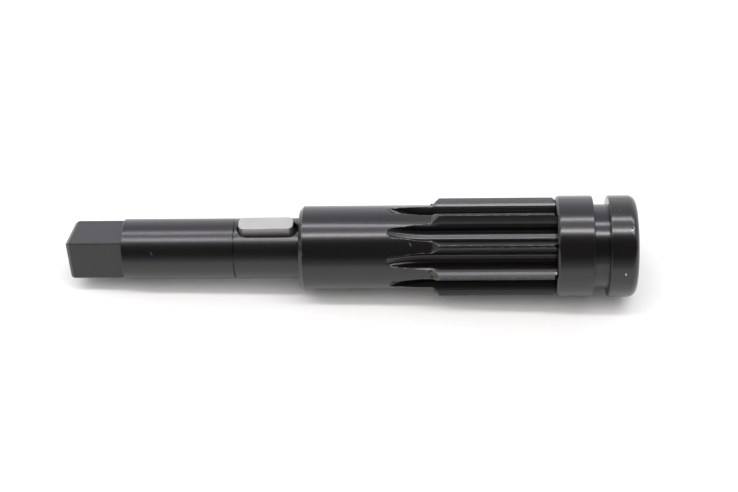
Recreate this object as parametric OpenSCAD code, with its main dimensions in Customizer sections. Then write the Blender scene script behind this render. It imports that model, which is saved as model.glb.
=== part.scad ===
// Keyed pinion shaft with a grooved end collar, in millimetres.
// The axis lies along X with the collar at +X and the drive square at -X.
// The origin is on the axis at half the length, and +Z is square to the floor of the keyway.

/* [Drive square] */
// Size across the flats
square_af = 12.6; // [10:0.1:12.8]
// Length of the square
square_len = 16.5; // [10:0.5:30]
// Length of the chamfers on the four edges of its end
square_chamfer = 1.1; // [0.4:0.1:2]
// Depth of those chamfers at the end
square_chamfer_depth = 0.6; // [0.2:0.1:1.5]
// Slant of its end, which isn't sawn quite square to the axis
end_slant = 5.7; // [0:0.1:8]
// Turn of the longest side of that end, from a flat of the square toward -Y
end_slant_turn = 71; // [-180:1:180]
// Diameter over its corners, which the lathe left
corner_d = 17.3; // [16:0.1:17.5]
// Turn of the square about the axis, from the keyway toward -Y
square_turn = -16.3; // [-45:0.1:45]

/* [Journal] */
// Diameter of the journal
journal_d = 18; // [17.5:0.1:20]
// Length from the square to the seat
journal_len = 52.5; // [45:0.5:80]
// Edge break where the journal starts
journal_break = 0.2; // [0.1:0.1:0.8]
// Distance from the seat back to the middle of the thin groove
line_groove_back = 19.2; // [18.8:0.1:40]
// Width of the thin groove
line_groove_w = 0.5; // [0.3:0.1:0.7]
// Depth of the thin groove
line_groove_depth = 0.7; // [0.2:0.1:0.8]

/* [Keyway and key] */
// Width of the keyway, whose ends are round
keyway_w = 6; // [4:0.1:7]
// Length of the keyway over its round ends
keyway_len = 18.2; // [12:0.1:18.2]
// Depth of the keyway's floor below the journal
keyway_depth = 3.5; // [2:0.1:4.5]
// Distance from the end of the keyway to the seat
keyway_back = 0.1; // [0.1:0.1:2]
// Height of the key above the keyway's floor
key_h = 6; // [4:0.1:6.8]
// Room beside the key, on each side
key_side_room = 0.8; // [0.2:0.1:1]
// Room before the key, on the side of the drive square
key_near_room = 0.7; // [0.3:0.1:2]
// Room behind the key, on the side of the seat
key_far_room = 1.5; // [0.3:0.1:2]
// Rounding of the key's upright corners
key_corner_r = 1.5; // [0.4:0.1:1.8]
// Turn of the loose key in its keyway
key_skew = 0.6; // [0:0.1:1]

/* [Seat] */
// Diameter of the seat
seat_d = 25; // [24:0.1:27]
// Length from the journal to the foot of the tooth ramps
seat_len = 39; // [30:0.5:60]
// Chamfer at the journal's end
seat_chamfer = 1.2; // [0.4:0.1:2]

/* [Pinion] */
// Number of teeth
teeth = 9; // [8:1:11]
// Module of the teeth
tooth_module = 2.5; // [2.3:0.05:2.6]
// Pressure angle
pressure_angle = 14.5; // [14.5:0.5:20]
// Tooth thickness on the pitch circle
tooth_w = 4.15; // [3.6:0.05:4.4]
// Diameter over the tooth tips
tip_d = 29.2; // [28:0.1:29.6]
// Diameter at the floor of the gaps
root_d = 18; // [16.5:0.1:20]
// Fillet at the foot of the flanks
root_fillet = 1.2; // [0.2:0.1:1.6]
// Length of the teeth with their ramps
pinion_len = 36.25; // [25:0.25:60]
// Chamfer of the teeth at the collar
tooth_chamfer = 0.9; // [0.3:0.1:1.5]
// Radius of the cutter that leaves the run-out of each gap
cutter_r = 22; // [16:0.5:30]
// Distance from full gap depth to the foot of the ramps
full_depth_lead = 1.2; // [0.5:0.1:4]
// Turn from the keyway to the nearest tooth
tooth_turn = 0; // [-20:0.5:20]

/* [Collar] */
// Diameter of the collar
collar_d = 30; // [28:0.1:34]
// Width of the land beside the teeth
collar_land = 10.8; // [6:0.1:16]
// Width of the ring groove
ring_groove_w = 4.4; // [2:0.1:6]
// Depth of the ring groove
ring_groove_depth = 2.6; // [1:0.1:5]
// Width of the ring at the end
end_ring = 8.3; // [5:0.1:14]
// Chamfer beside the teeth
collar_chamfer = 0.8; // [0.3:0.1:1.5]
// Rounding of the end
end_round = 2.4; // [1:0.1:3.5]
// Diameter of the spigot that carries the collar
spigot_d = 14; // [10:0.5:16]
// Chamfer at the spigot's end
spigot_chamfer = 0.5; // [0.2:0.1:1]
// Hairline between spigot and collar, on the radius
collar_fit = 0.02; // [0.01:0.01:0.05]

/* [Hidden] */
$fn = 96;

collar_len = collar_land + ring_groove_w + end_ring;
total_len = square_len + journal_len + seat_len + pinion_len + collar_len;

// Stations along X, from the drive square to the collar's end
square_end_x = -total_len / 2;
journal_x = square_end_x + square_len;
seat_x = journal_x + journal_len;
ramp_x = seat_x + seat_len;
collar_x = ramp_x + pinion_len;
end_x = collar_x + collar_len;

journal_r = journal_d / 2;
corner_r = min(corner_d / 2, journal_r - journal_break);
seat_r = seat_d / 2;
tip_r = tip_d / 2;
root_r = root_d / 2;
collar_r = collar_d / 2;
spigot_r = spigot_d / 2;

keyway_floor = journal_r - keyway_depth;
keyway_x = seat_x - keyway_back - keyway_len;
key_w = keyway_w - 2 * key_side_room;
key_len = keyway_len - key_near_room - key_far_room;
// The corners of a narrow key take this share of its width
key_corner_share = 0.45;
// Their centres lie this near the key's middle line, so that they clear the keyway's round ends
key_corner_line = 0.9;
key_corner = min(max(key_corner_r, key_w / 2 - key_corner_line), key_corner_share * key_w);

// Length by which a cut passes the surface that it opens
cut_over = 1;
// Length by which the drive square runs on into the journal
join_over = 1;

// Involute flanks
pitch_r = teeth * tooth_module / 2;
base_r = pitch_r * cos(pressure_angle);
flank_foot_r = max(base_r, root_r + root_fillet);
// The flanks are drawn a little past the tips, so that the cut leaves clean tooth corners
flank_over = 0.2;
flank_end_r = tip_r + flank_over;
flank_steps = 8;
fillet_steps = 4;
function involute(angle) = tan(angle) * 180 / PI - angle;
function tooth_half_angle(r) =
    tooth_w / (2 * pitch_r) * 180 / PI + involute(pressure_angle) - involute(acos(base_r / r));
function gap_half_angle(r) = 180 / teeth - tooth_half_angle(r);
function flank_point(r) = [r * sin(gap_half_angle(r)), r * cos(gap_half_angle(r))];
// Roll of the involute at a radius, in radians, by whose even steps the flanks are drawn
function roll_at(r) = sqrt(pow(r / base_r, 2) - 1);
function radius_at(roll) = base_r * sqrt(1 + pow(roll, 2));

// One side of a gap, from its floor out past the tooth tips, as [across, out from the axis]
gap_foot_angle = gap_half_angle(flank_foot_r);
// The fillets of both sides may take this share of the gap's floor
fillet_share = 0.95;
widest_fillet = root_r * sin(gap_foot_angle) / (1 - sin(gap_foot_angle));
fillet_r = min(root_fillet, fillet_share * widest_fillet);
fillet_out = root_r + fillet_r;
fillet_across = (fillet_out * sin(gap_foot_angle) - fillet_r) / cos(gap_foot_angle);
fillet_turn = 90 - gap_foot_angle;
foot_roll = roll_at(flank_foot_r);
roll_step = (roll_at(flank_end_r) - foot_roll) / flank_steps;
gap_side = [
    for (i = [0:fillet_steps])
        let (a = -90 + fillet_turn * i / fillet_steps)
        [fillet_across + fillet_r * cos(a), fillet_out + fillet_r * sin(a)],
    for (i = [0:flank_steps])
        flank_point(radius_at(foot_roll + roll_step * i)),
    [flank_point(flank_end_r).x, tip_r + cut_over]
];
gap_outline = concat(gap_side, [for (i = [len(gap_side) - 1:-1:0]) [-gap_side[i].x, gap_side[i].y]]);

// Turns a shape drawn up the Z axis to lie along X
module along_x() {
    rotate([0, 90, 0])
        children();
}

// Outline with round ends, from x = 0 to x = length
module slot_outline(length, width) {
    end_r = width / 2;
    translate([end_r, -end_r])
        square([length - width, width]);
    for (x = [end_r, length - end_r])
        translate([x, 0])
            circle(r = end_r);
}

// Outline with rounded corners, from x = 0 to x = length
module rounded_outline(length, width, corner) {
    translate([corner, -width / 2])
        square([length - 2 * corner, width]);
    translate([0, corner - width / 2])
        square([length, width - 2 * corner]);
    for (x = [corner, length - corner], side = [-1, 1])
        translate([x, side * (width / 2 - corner)])
            circle(r = corner);
}

// Turns a cutter so that it leaves the end of the square longest on one side
module slanted() {
    end_half = square_af / 2 - square_chamfer_depth;
    end_reach = end_half * (abs(cos(end_slant_turn)) + abs(sin(end_slant_turn))) * sin(end_slant);
    translate([square_end_x + end_reach, 0, 0])
        rotate([end_slant_turn, 0, 0])
            rotate([0, -end_slant, 0])
                rotate([-end_slant_turn, 0, 0])
                    children();
}

// What is cut off at the end of the square: the end itself and the chamfers on its four edges
module square_end_cut() {
    chamfer_slope = square_chamfer_depth / square_chamfer;
    chamfer_out = square_chamfer + cut_over;
    translate([-square_af, -square_af, -square_af])
        cube([square_af, 2 * square_af, 2 * square_af]);
    for (turn = [0:90:270])
        rotate([turn, 0, 0])
            translate([0, square_af, square_af / 2 - square_chamfer_depth])
                rotate([90, 0, 0])
                    linear_extrude(2 * square_af)
                        polygon([
                            [-cut_over, -cut_over * chamfer_slope],
                            [chamfer_out, chamfer_out * chamfer_slope],
                            [-cut_over, chamfer_out * chamfer_slope]
                        ]);
}

module drive_square() {
    blank_len = square_len + join_over;
    rotate([square_turn, 0, 0])
        intersection() {
            difference() {
                translate([square_end_x, -square_af / 2, -square_af / 2])
                    cube([blank_len, square_af, square_af]);
                slanted()
                    square_end_cut();
            }
            translate([square_end_x, 0, 0])
                along_x()
                    cylinder(r = corner_r, h = blank_len);
        }
}

module turned_body() {
    along_x()
        rotate_extrude()
            polygon([
                [0, journal_x],
                [journal_r - journal_break, journal_x],
                [journal_r, journal_x + journal_break],
                [journal_r, seat_x],
                [seat_r - seat_chamfer, seat_x],
                [seat_r, seat_x + seat_chamfer],
                [seat_r, ramp_x],
                [tip_r, ramp_x + tip_r - seat_r],
                [tip_r, collar_x - tooth_chamfer],
                [tip_r - tooth_chamfer, collar_x],
                [spigot_r, collar_x],
                [spigot_r, end_x - spigot_chamfer],
                [spigot_r - spigot_chamfer, end_x],
                [0, end_x]
            ]);
}

module line_groove() {
    translate([seat_x - line_groove_back - line_groove_w / 2, 0, 0])
        along_x()
            difference() {
                cylinder(r = journal_r + cut_over, h = line_groove_w);
                cylinder(r = journal_r - line_groove_depth, h = line_groove_w);
            }
}

module keyway() {
    translate([keyway_x, 0, keyway_floor])
        linear_extrude(keyway_depth + cut_over)
            slot_outline(keyway_len, keyway_w);
}

// Straight gap to the collar, with the cutter's own sweep where it left the seat
module tooth_gap() {
    full_x = ramp_x - full_depth_lead;
    translate([full_x, 0, 0])
        rotate([90, 0, 90])
            linear_extrude(collar_x - full_x + cut_over)
                polygon(gap_outline);
    translate([full_x, 0, root_r + cutter_r])
        rotate([90, 90, 0])
            rotate_extrude(angle = -90)
                polygon([for (p = gap_outline) [root_r + cutter_r - p.y, p.x]]);
}

module tooth_gaps() {
    for (i = [0:teeth - 1])
        rotate([tooth_turn + (i + 0.5) * 360 / teeth, 0, 0])
            tooth_gap();
}

module pinion_shaft() {
    color([0.10, 0.10, 0.11])
        difference() {
            union() {
                drive_square();
                turned_body();
            }
            line_groove();
            keyway();
            tooth_gaps();
        }
}

module drive_key() {
    color([0.76, 0.75, 0.74])
        translate([keyway_x + key_near_room + key_len / 2, 0, keyway_floor])
            rotate([0, 0, key_skew])
                translate([-key_len / 2, 0, 0])
                    linear_extrude(key_h)
                        rounded_outline(key_len, key_w, key_corner);
}

// Half section of the collar, as [out from the axis, along the axis from the teeth]
module collar_section() {
    bore_r = spigot_r + collar_fit;
    difference() {
        union() {
            square([collar_r, collar_len - end_round]);
            square([collar_r - end_round, collar_len]);
            translate([collar_r - end_round, collar_len - end_round])
                circle(r = end_round);
        }
        square([bore_r, collar_len]);
        translate([collar_r - ring_groove_depth, collar_land])
            square([ring_groove_depth + cut_over, ring_groove_w]);
        polygon([
            [collar_r - collar_chamfer - cut_over, -cut_over],
            [collar_r + cut_over, -cut_over],
            [collar_r + cut_over, collar_chamfer + cut_over]
        ]);
    }
}

module end_collar() {
    color([0.10, 0.10, 0.11])
        translate([collar_x, 0, 0])
            along_x()
                rotate_extrude()
                    collar_section();
}

pinion_shaft();
drive_key();
end_collar();
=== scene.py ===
"""Looks of the keyed pinion shaft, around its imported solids.

Lengths are in metres, but marks and zones on the steel are in millimetres.
"""

from math import cos, pi, radians, sin

import bmesh
import bpy
from mathutils import Matrix, Vector


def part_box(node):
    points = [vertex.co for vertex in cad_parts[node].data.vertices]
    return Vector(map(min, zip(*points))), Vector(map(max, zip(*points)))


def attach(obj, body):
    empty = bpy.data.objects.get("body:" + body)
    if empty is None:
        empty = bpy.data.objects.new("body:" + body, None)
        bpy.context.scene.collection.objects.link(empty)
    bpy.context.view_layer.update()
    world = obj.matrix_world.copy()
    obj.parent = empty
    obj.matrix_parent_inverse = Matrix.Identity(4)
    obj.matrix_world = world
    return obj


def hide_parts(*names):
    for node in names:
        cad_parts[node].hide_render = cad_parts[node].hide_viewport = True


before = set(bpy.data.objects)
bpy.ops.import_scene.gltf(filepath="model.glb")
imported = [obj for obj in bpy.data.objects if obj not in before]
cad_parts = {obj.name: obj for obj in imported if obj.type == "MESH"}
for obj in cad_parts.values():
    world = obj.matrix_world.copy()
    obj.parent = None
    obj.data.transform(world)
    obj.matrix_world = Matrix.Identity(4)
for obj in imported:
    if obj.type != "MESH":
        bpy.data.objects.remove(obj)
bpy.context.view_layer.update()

MM = 0.001

# Sizes of the pieces and the table
square_len = 16.5 * MM
journal_len = 52.5 * MM
seat_r = 12.5 * MM
seat_chamfer = 1.2 * MM
collar_chamfer = 0.8 * MM
collar_land = 10.8 * MM
ring_groove_w = 4.4 * MM
ring_groove_depth = 2.6 * MM
end_round = 2.4 * MM
bore_r = 7.02 * MM
key_w = 4.4 * MM
key_corner_r = 1.5 * MM
key_skew = radians(0.6)
edge_break = 0.12 * MM
rim_break = 0.3 * MM
merge_within = 0.001 * MM
table_half = 3

# Edges that are sharper than this are broken
COLLAR_SHARP = radians(35)
KEY_SHARP = radians(60)

# Steps of the round forms
COLLAR_STEPS = 192
END_ROUND_STEPS = 10
KEY_CORNER_STEPS = 8
EDGE_STEPS = 3

# Stations along the shaft, from the bounds of the imported solids
shaft_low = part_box("pinion_shaft")[0]
collar_low, collar_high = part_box("end_collar")
key_low, key_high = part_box("drive_key")
seat_x = shaft_low.x + square_len + journal_len
collar_x = collar_low.x
end_x = collar_high.x
collar_r = collar_high.z
ring_groove_x = collar_x + collar_land
end_ring_x = ring_groove_x + ring_groove_w
ring_floor_r = collar_r - ring_groove_depth

# Marks are placed by a station from the seat's shoulder and degrees round from the key to the near side
# Scratches: station, degrees, radius, half length, half width, lean in degrees and strength
SCRATCHES = [
    (94.8, 73.5, 15.0, 0.50, 0.24, 90, 1.0),
    (93.3, -2.9, 15.0, 0.35, 0.30, 0, 0.08),
    (-43.3, 49.3, 9.0, 0.70, 0.09, 69, 0.25),
    (1.55, 48.8, 12.5, 0.60, 0.07, 10, 0.15),
    (32.75, 36.4, 12.5, 0.84, 0.12, 59, 0.22),
    (32.75, 36.0, 12.5, 0.22, 0.15, 0, 0.22),
]
# Curled scratches: station, degrees, radius, radius of the curl, half width of its line and strength
CURLS = [
    (96.4, 20.3, 14.9, 0.72, 0.08, 0.7),
]
# Chips at the ramps: station, degrees and half size
CHIPS = [
    (39.05, -46.5, 0.60),
    (38.25, 75.3, 0.50),
    (38.85, 84.3, 0.60),
]
CHIP_SHAPE = (1.1, 0.6, 0.8)
CHIP_LEAN = radians(25)

# Borders of zones on the steel: where each begins, and from where on it counts fully
# By station
SQUARE_END_ZONE = (-67.95, -68.05)
JOURNAL_ZONE = (-0.45, -0.85)
LIP_ZONE = (-1.25, -0.75)
SEAT_ZONE = (39.15, 38.75)
RAMP_START_ZONE = (37.9, 38.5)
RAMP_END_ZONE = (40.9, 40.5)
TEETH_ZONE = (74.9, 74.2)
# By radius
OVER_GAPS_ZONE = (12.3, 12.4)
OUTER_EDGE_ZONE = (12.42, 12.5)
TIP_ZONE = (12.7, 13.6)
LAND_ZONE = (14.2, 14.5)
# By the cosine between the rounded normal and the plain one
EDGE_BEND = (0.985, 0.88)
# By the noise that breaks the worn edges into dashes
DASH_NOISE = (0.47, 0.60)

# Roundings that only the shading has, and the depth of its relief
crisp_edge = 0.2 * MM
soft_edge = 0.9 * MM
relief_depth = 0.02 * MM

BLACK_LOW = (0.0036, 0.0031, 0.0027, 1)
BLACK_HIGH = (0.0062, 0.0056, 0.0050, 1)
BARE_STEEL = (0.55, 0.53, 0.49, 1)
GROUND_LOW = (0.375, 0.366, 0.353, 1)
GROUND_HIGH = (0.45, 0.439, 0.422, 1)
PAPER = (0.95, 0.95, 0.95, 1)

# The camera looks down on the near side, from a station a little to the right of its aim
camera_up = radians(50)
camera_far = 496 * MM
camera_station = 42.95 * MM
aim_station = 20.25 * MM
aim_rise = 0.45 * MM
camera_roll = -0.0064
LENS = 81.5
SENSOR = 36

# Lamps: two long tubes overhead, one a little toward the camera and one farther back
front_up = radians(84.3)
back_up = radians(112.4)
TUBE_FAR = 0.7
TUBE_LENGTH = 1.4
TUBE_WIDTH = 0.06
FRONT_TINT = (1.0, 0.985, 1.0)
COOL = (0.97, 0.97, 1.06)
WARM = (1.0, 0.99, 0.975)
WHITE = (1, 1, 1)

# Light of the tent by degrees over the near horizon, through overhead, to the far horizon
TENT_SEEN = [
    (0, 0.70), (8, 0.55), (14, 0.38), (20, 0.18), (27, 0.075), (72, 0.075),
    (84, 1.0), (98, 1.3), (110, 1.15), (130, 0.92), (150, 1.2), (180, 1.6),
]
TENT_LIGHT = [(0, 0.45), (40, 0.45), (55, 0.9), (66, 1.7), (82, 1.7), (96, 0.65), (130, 0.65), (180, 0.3)]
# The tent's strength, which is more than any of its stops, so that its colours stay under 1
TENT_STRENGTH = 2.6


class Socket:
    """A value in a material, with arithmetic that adds its Math nodes."""

    def __init__(self, shader, socket):
        self.shader = shader
        self.socket = socket

    def math(self, operation, *others):
        return self.shader.node("ShaderNodeMath", {"operation": operation}, [self, *others])

    def __add__(self, other):
        return self.math("ADD", other)

    __radd__ = __add__

    def __mul__(self, other):
        return self.math("MULTIPLY", other)

    __rmul__ = __mul__

    def __sub__(self, other):
        return self.math("SUBTRACT", other)

    def __truediv__(self, other):
        return self.math("DIVIDE", other)


class Shader:
    """The node tree of a material or of the world."""

    def __init__(self, owner):
        owner.use_nodes = True
        self.owner = owner
        self.tree = owner.node_tree
        self.tree.nodes.clear()

    def node(self, kind, settings=None, sockets=(), output=0):
        """Adds a node: its settings first, then the values or links of its sockets, by place or by name."""
        made = self.tree.nodes.new(kind)
        for name, value in (settings or {}).items():
            setattr(made, name, value)
        pairs = sockets.items() if isinstance(sockets, dict) else enumerate(sockets)
        for key, value in pairs:
            if isinstance(value, Socket):
                self.tree.links.new(value.socket, made.inputs[key])
            else:
                made.inputs[key].default_value = value
        return Socket(self, made.outputs[output]) if made.outputs else made

    def parts(self, vector):
        """The x, y and z of a vector."""
        split = self.node("ShaderNodeSeparateXYZ", None, [vector]).socket.node
        return [Socket(self, part) for part in split.outputs]

    def ramp(self, value, stops):
        """A colour that goes from stop to stop, each a place and a colour."""
        made = self.node("ShaderNodeValToRGB", None, [value])
        elements = made.socket.node.color_ramp.elements
        while len(elements) < len(stops):
            elements.new(1)
        for element, (place, colour) in zip(elements, stops):
            element.position = place
            element.color = (*colour, 1)
        return made

    def ease(self, value, low, high):
        """0 below low and 1 above high, with a soft step between; low may be the larger."""
        return self.node(
            "ShaderNodeMapRange",
            {"interpolation_type": "SMOOTHSTEP", "clamp": True},
            {"Value": value, "From Min": low, "From Max": high, "To Min": 0.0, "To Max": 1.0},
        )

    def mix_colour(self, factor, low, high):
        return self.node(
            "ShaderNodeMix",
            {"data_type": "RGBA", "clamp_factor": True},
            {0: factor, 6: low, 7: high},
            output=2,
        )

    def mix_vector(self, factor, low, high):
        return self.node("ShaderNodeMix", {"data_type": "VECTOR"}, {0: factor, 4: low, 5: high}, output=1)

    def dot(self, one, other):
        return self.node("ShaderNodeVectorMath", {"operation": "DOT_PRODUCT"}, [one, other], output="Value")

    def noise(self, vector, scale, detail=2.0, roughness=0.5, stretch=(1, 1, 1)):
        point = self.node("ShaderNodeMapping", {"vector_type": "POINT"}, {"Vector": vector, "Scale": stretch})
        return self.node(
            "ShaderNodeTexNoise",
            None,
            {"Vector": point, "Scale": scale, "Detail": detail, "Roughness": roughness},
        )

    def rounded_normal(self, radius):
        """The normal as if every edge were rounded."""
        return self.node("ShaderNodeBevel", {"samples": 8}, {"Radius": radius})

    def bump(self, height, strength, **sockets):
        return self.node(
            "ShaderNodeBump",
            None,
            {"Strength": strength, "Distance": relief_depth, "Height": height, **sockets},
        )

    def finish(self, surface, output="ShaderNodeOutputMaterial"):
        self.node(output, None, {"Surface": surface})
        return self.owner


def on_surface(shader, point):
    """Place in millimetres: along from the seat's shoulder, round from the key to the near side, and out."""
    x, y, z = shader.parts(point)
    radius = (y * y + z * z).math("SQRT") / MM
    turn = (y * -1).math("ARCTAN2", z)
    return (x - seat_x) / MM, turn * radius, radius


def off_mark(place, mark):
    """How far ahead of a mark and aside from it a place is."""
    along, around, _ = place
    station, turned, at_radius = mark
    return along - station, around - radians(turned) * at_radius


def spot(shader, place, mark, half_length, half_width, lean):
    """An oval mark with a soft rim, turned by its lean in degrees."""
    ahead, aside = off_mark(place, mark)
    long_way = (ahead * cos(radians(lean)) + aside * sin(radians(lean))) / half_length
    short_way = (aside * cos(radians(lean)) - ahead * sin(radians(lean))) / half_width
    return shader.ease(long_way * long_way + short_way * short_way, 1.0, 0.3)


def curl(shader, place, mark, curl_radius, line):
    """A scratch that curls round one half of a small circle."""
    ahead, aside = off_mark(place, mark)
    off_line = ((ahead * ahead + aside * aside).math("SQRT") - curl_radius).math("ABSOLUTE")
    on_half = shader.ease(ahead + aside * 0.6, -0.2, 0.1)
    return shader.ease(off_line, line, line * 0.3) * on_half


def worn_away(shader, point, place, normal):
    """Where the steel has lost its black: dashes along outer edges, the square's end, and scratches."""
    along, _, radius = place
    plain = shader.node("ShaderNodeNewGeometry", output="Normal")
    on_edge = shader.ease(shader.dot(normal, plain), *EDGE_BEND)
    on_outer_edge = shader.ease(radius, *OUTER_EDGE_ZONE) * shader.ease(along, *LIP_ZONE)
    dashes = shader.ease(shader.noise(point, 700, detail=3, roughness=0.6), *DASH_NOISE)
    on_square_end = shader.ease(along, *SQUARE_END_ZONE)
    worn = (on_edge * on_outer_edge * dashes).math("MAXIMUM", on_square_end * 0.06)
    for *mark, half_length, half_width, lean, strength in SCRATCHES:
        scratch = spot(shader, place, mark, half_length, half_width, lean)
        worn = worn.math("MAXIMUM", scratch * strength)
    for *mark, curl_radius, line, strength in CURLS:
        scratch = curl(shader, place, mark, curl_radius, line)
        worn = worn.math("MAXIMUM", scratch * strength)
    return worn


def black_steel():
    """Black-oxide steel, oiled: dark, with a clear sheen, bright worn edges and a few scratches."""
    shader = Shader(bpy.data.materials.new("black_steel"))
    point = shader.node("ShaderNodeTexCoord", output="Object")
    place = on_surface(shader, point)
    along, _, radius = place
    on_teeth = shader.ease(along, *TEETH_ZONE)
    on_lands = shader.ease(radius, *LAND_ZONE) * on_teeth
    on_tips = shader.ease(radius, *TIP_ZONE) * on_teeth
    on_seat = shader.ease(along, *SEAT_ZONE)
    on_journal = shader.ease(along, *JOURNAL_ZONE)

    # The ramps run softly into the seat, and every other edge is only just broken
    by_ramp = shader.ease(along, *RAMP_START_ZONE) * shader.ease(along, *RAMP_END_ZONE)
    on_ramp = by_ramp * shader.ease(radius, *OVER_GAPS_ZONE)
    crisp = shader.rounded_normal(crisp_edge)
    soft = shader.rounded_normal(soft_edge)

    # Fine turned lines everywhere, and ripples along the lands
    turned_lines = shader.noise(point, 1000, stretch=(9, 0.05, 0.05))
    grain = shader.noise(point, 2600)
    ripples = shader.noise(point, 420, stretch=(0.3, 1.6, 1.6))
    relief = turned_lines * 0.15 + grain * 0.04 + ripples * on_lands * 20
    normal = shader.bump(relief, 0.10, Normal=shader.mix_vector(on_ramp, crisp, soft))

    worn = worn_away(shader, point, place, crisp)
    blotches = shader.noise(point, 160, detail=3)
    shade = shader.mix_colour(worn, shader.mix_colour(blotches, BLACK_LOW, BLACK_HIGH), BARE_STEEL)
    roughness = 0.20 + on_seat * 0.02 + on_journal * 0.05 + on_tips * 0.12 + worn * 0.15
    surface = shader.node(
        "ShaderNodeBsdfPrincipled",
        None,
        {"Base Color": shade, "Metallic": worn, "Roughness": roughness, "IOR": 1.55, "Normal": normal},
    )
    return shader.finish(surface)


def bright_steel():
    """Bright ground steel of the key, a little dull."""
    shader = Shader(bpy.data.materials.new("bright_steel"))
    point = shader.node("ShaderNodeTexCoord", output="Object")
    ground_lines = shader.noise(point, 1500, stretch=(0.15, 2, 2))
    clouds = shader.noise(point, 260, detail=3)
    normal = shader.bump(ground_lines, 0.12)
    shade = shader.mix_colour(clouds, GROUND_LOW, GROUND_HIGH)
    roughness = 0.27 + clouds * 0.08
    surface = shader.node(
        "ShaderNodeBsdfPrincipled",
        None,
        {"Base Color": shade, "Metallic": 0.8, "Roughness": roughness, "Normal": normal},
    )
    return shader.finish(surface)


def paper_white():
    """The table, plain white."""
    shader = Shader(bpy.data.materials.new("paper_white"))
    return shader.finish(shader.node("ShaderNodeBsdfDiffuse", None, {"Color": PAPER}))


def dress(piece, material):
    piece.data.materials.clear()
    piece.data.materials.append(material)


def make_object(name, shape):
    """Makes an object of the shape, which is used up."""
    mesh = bpy.data.meshes.new(name)
    shape.to_mesh(mesh)
    shape.free()
    made = bpy.data.objects.new(name, mesh)
    bpy.context.collection.objects.link(made)
    return made


def finished_piece(name, shape, material, node=None):
    """Makes a piece of the finished shape, which rides with the shaft and may stand for a node."""
    piece = make_object(name, shape)
    piece.data.shade_smooth()
    even = piece.modifiers.new("even_shading", "WEIGHTED_NORMAL")
    even.weight = 100
    dress(piece, material)
    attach(piece, "root")
    if node:
        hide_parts(node)


def break_edges(shape, sharper_than):
    """Rounds every edge of the shape that is sharper than an angle."""
    bmesh.ops.bevel(
        shape,
        geom=[edge for edge in shape.edges if edge.calc_face_angle(0) > sharper_than],
        offset=edge_break,
        segments=EDGE_STEPS,
        profile=0.5,
        affect="EDGES",
        material=-1,
        clamp_overlap=True,
    )


def grooved_collar(material):
    """The collar, spun from its half section, with its edges broken."""
    section = [
        (bore_r, collar_x),
        (collar_r - collar_chamfer, collar_x),
        (collar_r, collar_x + collar_chamfer),
        (collar_r, ring_groove_x - rim_break),
        (collar_r - rim_break, ring_groove_x),
        (ring_floor_r, ring_groove_x),
        (ring_floor_r, end_ring_x),
        (collar_r - rim_break, end_ring_x),
        (collar_r, end_ring_x + rim_break),
        (collar_r, end_x - end_round),
    ]
    for step in range(1, END_ROUND_STEPS + 1):
        turned = pi / 2 * step / END_ROUND_STEPS
        out = collar_r - end_round + end_round * cos(turned)
        section.append((out, end_x - end_round + end_round * sin(turned)))
    section.append((bore_r, end_x))

    shape = bmesh.new()
    corners = [shape.verts.new((along, 0, out)) for out, along in section]
    outline = [shape.edges.new(pair) for pair in zip(corners, corners[1:] + corners[:1])]
    bmesh.ops.spin(
        shape,
        geom=corners + outline,
        cent=(0, 0, 0),
        axis=(1, 0, 0),
        angle=2 * pi,
        steps=COLLAR_STEPS,
        use_merge=True,
    )
    bmesh.ops.remove_doubles(shape, verts=shape.verts, dist=merge_within)
    bmesh.ops.recalc_face_normals(shape, faces=shape.faces)
    break_edges(shape, COLLAR_SHARP)
    finished_piece("grooved_collar", shape, material, "end_collar")


def loose_key(material):
    """The loose key: a bar with rounded corners and broken edges, turned a little in its keyway."""
    key_len = key_high.x - key_low.x
    key_h = key_high.z - key_low.z
    shape = bmesh.new()
    bmesh.ops.create_cube(shape, size=1)
    bmesh.ops.scale(shape, vec=(key_len, key_w, key_h), verts=shape.verts)
    upright = [edge for edge in shape.edges if abs(edge.verts[0].co.z - edge.verts[1].co.z) > key_h / 2]
    bmesh.ops.bevel(
        shape,
        geom=upright,
        offset=key_corner_r,
        segments=KEY_CORNER_STEPS,
        profile=0.5,
        affect="EDGES",
        material=-1,
    )
    break_edges(shape, KEY_SHARP)
    turn = Matrix.Translation((key_low + key_high) / 2) @ Matrix.Rotation(key_skew, 4, "Z")
    bmesh.ops.transform(shape, matrix=turn, verts=shape.verts)
    finished_piece("loose_key", shape, material, "drive_key")


def ramp_burrs(material):
    """Small torn chips that the cutter left at the feet of two tooth ramps."""
    shape = bmesh.new()
    for station, turned, size in CHIPS:
        chip = bmesh.ops.create_icosphere(shape, subdivisions=1, radius=size * MM)
        out = Vector((0, -sin(radians(turned)), cos(radians(turned))))
        foot = Matrix.Translation(Vector((seat_x + station * MM, 0, 0)) + out * seat_r)
        lean = Matrix.Rotation(radians(turned), 4, "X") @ Matrix.Rotation(CHIP_LEAN, 4, "Z")
        placed = foot @ lean @ Matrix.Diagonal((*CHIP_SHAPE, 1))
        bmesh.ops.transform(shape, matrix=placed, verts=chip["verts"])
    finished_piece("ramp_burrs", shape, material)


def table():
    """A white table that touches the seat's edge and the collar's, so it slopes a little against the axis."""
    seat_foot = Vector((seat_x + seat_chamfer, 0, -seat_r))
    collar_foot = Vector((collar_x + collar_chamfer, 0, -collar_r))
    along = (collar_foot - seat_foot).normalized()
    up = Vector((-along.z, 0, along.x))
    turn = Matrix((along, (0, 1, 0), up)).transposed().to_4x4()
    grid = bmesh.new()
    bmesh.ops.create_grid(grid, x_segments=1, y_segments=1, size=table_half)
    bmesh.ops.transform(grid, matrix=Matrix.Translation(seat_foot) @ turn, verts=grid.verts)
    made = make_object("table", grid)
    dress(made, paper_white())


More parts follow.
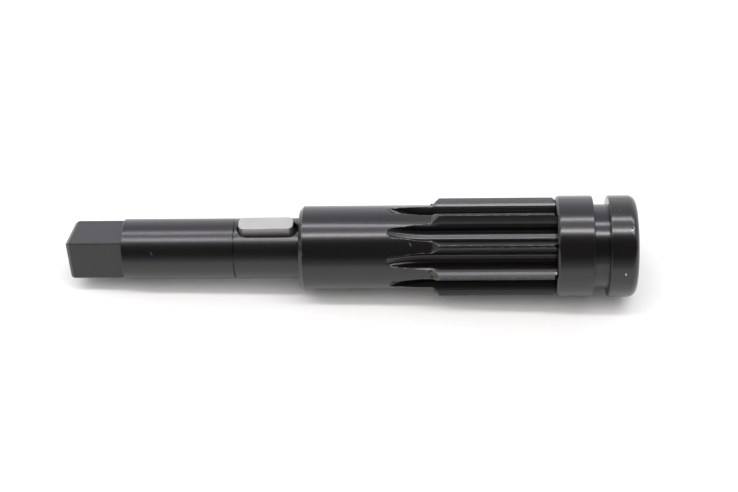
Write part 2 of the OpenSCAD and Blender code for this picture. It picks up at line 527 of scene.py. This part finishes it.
def photo_camera():
    """The camera, from the photo's perspective."""
    side = Vector((0, -cos(camera_up), sin(camera_up)))
    top = Vector((0, sin(camera_up), cos(camera_up)))
    at = Vector((seat_x + camera_station, 0, 0)) + side * camera_far
    aim = Vector((seat_x + aim_station, 0, 0)) + top * aim_rise
    data = bpy.data.cameras.new("camera")
    data.lens = LENS
    data.sensor_width = SENSOR
    data.clip_start = 0.01
    camera = bpy.data.objects.new("camera", data)
    bpy.context.collection.objects.link(camera)
    back = (at - aim).normalized()
    right = top.cross(back).normalized()
    turn = Matrix((right, back.cross(right), back)).transposed().to_4x4()
    camera.matrix_world = Matrix.Translation(at) @ turn @ Matrix.Rotation(camera_roll, 4, "Z")
    return camera


def tube_lamp(name, elevation, power, tint, in_steel):
    """A lamp along the shaft, at an angle over the near horizon, for the steel's sheen or for the table."""
    data = bpy.data.lights.new(name, "AREA")
    data.shape = "RECTANGLE"
    data.size = TUBE_LENGTH
    data.size_y = TUBE_WIDTH
    data.energy = power
    data.color = tint
    lamp = bpy.data.objects.new(name, data)
    lamp.visible_glossy = in_steel
    lamp.visible_diffuse = not in_steel
    bpy.context.collection.objects.link(lamp)
    along = Vector((1, 0, 0))
    out = Vector((0, -cos(elevation), sin(elevation)))
    turn = Matrix((along, out.cross(along), out)).transposed().to_4x4()
    lamp.matrix_world = Matrix.Translation(out * TUBE_FAR) @ turn


def tent_band(shader, angle, stops, tint):
    """Colours of the tent over a half turn, from stops of degrees and light."""
    colours = [
        (degrees_up / 180, tuple(light / TENT_STRENGTH * part for part in tint))
        for degrees_up, light in stops
    ]
    return shader.ramp(angle, colours)


def studio():
    """A white tent, open toward the camera: one light shows in the steel, and another lights the table."""
    shader = Shader(bpy.data.worlds.new("studio"))
    _, across, up = shader.parts(shader.node("ShaderNodeTexCoord"))
    angle = up.math("ARCTAN2", across * -1) / pi
    path = shader.node("ShaderNodeLightPath").socket.node
    lighting = Socket(shader, path.outputs["Is Diffuse Ray"])
    seen = tent_band(shader, angle, TENT_SEEN, COOL)
    light = tent_band(shader, angle, TENT_LIGHT, WARM)
    shade = shader.mix_colour(lighting, seen, light)
    surface = shader.node("ShaderNodeBackground", None, {"Color": shade, "Strength": TENT_STRENGTH})
    return shader.finish(surface, "ShaderNodeOutputWorld")


steel = black_steel()
dress(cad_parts["pinion_shaft"], steel)
grooved_collar(steel)
loose_key(bright_steel())
ramp_burrs(steel)

table()
bpy.context.scene.camera = photo_camera()
tube_lamp("front_tube", front_up, 4.6, FRONT_TINT, in_steel=True)
tube_lamp("back_tube", back_up, 3.4, COOL, in_steel=True)
tube_lamp("front_tube_on_table", front_up, 3.0, WHITE, in_steel=False)
tube_lamp("back_tube_on_table", back_up, 1.3, WHITE, in_steel=False)
bpy.context.scene.world = studio()
bpy.context.scene.view_settings.view_transform = "Standard"
